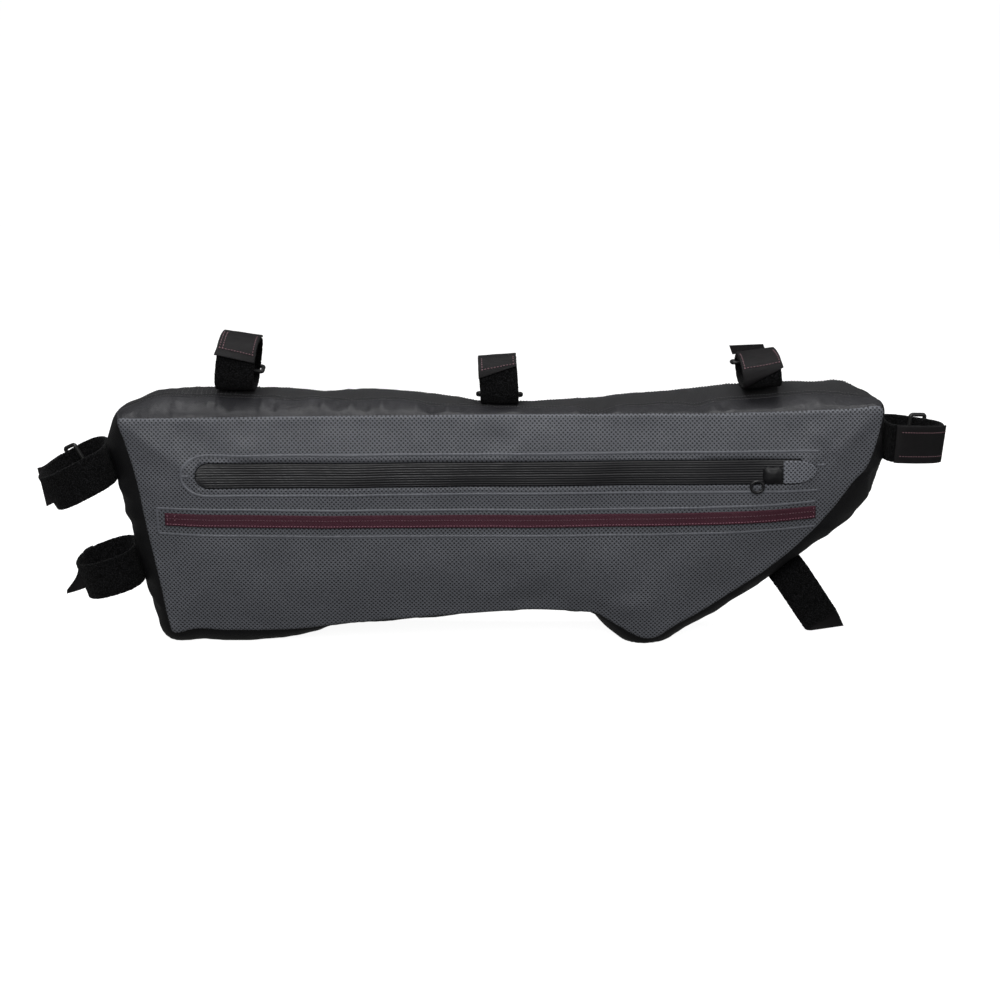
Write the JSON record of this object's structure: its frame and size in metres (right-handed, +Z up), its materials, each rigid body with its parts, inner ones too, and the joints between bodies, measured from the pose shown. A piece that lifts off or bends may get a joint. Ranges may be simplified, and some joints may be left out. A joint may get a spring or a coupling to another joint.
{
  "type": "bicycle frame bag",
  "caption": "Slim half-frame bicycle bag with a long water-resistant zip, a maroon accent strip and hook-and-loop straps closed in loops round its edge.",
  "frame": {"origin": "under the middle of the bag's overall box, on the surface that it stands on", "axes": "+Z up, +X along the bag towards its pointed end, the zipped side faces -Y"},
  "size_m": [0.5798, 0.0784, 0.1987],
  "materials": {
    "grey_laminate": "satin",
    "black_nylon": "satin",
    "coated_nylon": "satin",
    "zip_strip": "satin",
    "maroon_ribbon": "matte",
    "loop_pile": "matte",
    "smooth_tab": "satin",
    "black_plastic": "satin"
  },
  "bodies": {
    "root": {"front_panel": "grey_laminate", "back_panel": "grey_laminate", "side_gusset": "black_nylon", "top_front_strip": "coated_nylon", "top_band": "black_nylon", "top_rear_strip": "coated_nylon", "zip_tape": "zip_strip", "zip_slider": "black_plastic", "zip_pull": "black_plastic", "zip_garage": "grey_laminate", "accent_strip": "maroon_ribbon", "strap_top_left": "loop_pile", "strap_top_middle": "loop_pile", "strap_top_right": "loop_pile", "strap_left_upper": "loop_pile", "strap_left_lower": "loop_pile", "strap_right": "loop_pile", "strap_under": "loop_pile", "tab_top_left": "smooth_tab", "tab_top_middle": "smooth_tab", "tab_top_right": "smooth_tab", "flap_top_right": "smooth_tab", "tab_left_upper": "smooth_tab", "tab_left_lower": "smooth_tab", "tab_right": "smooth_tab", "tab_under": "smooth_tab", "ring_top_left": "black_plastic", "ring_top_middle": "black_plastic", "ring_top_right": "black_plastic", "ring_left_upper": "black_plastic", "ring_right": "black_plastic"}
  },
  "joints": []
}
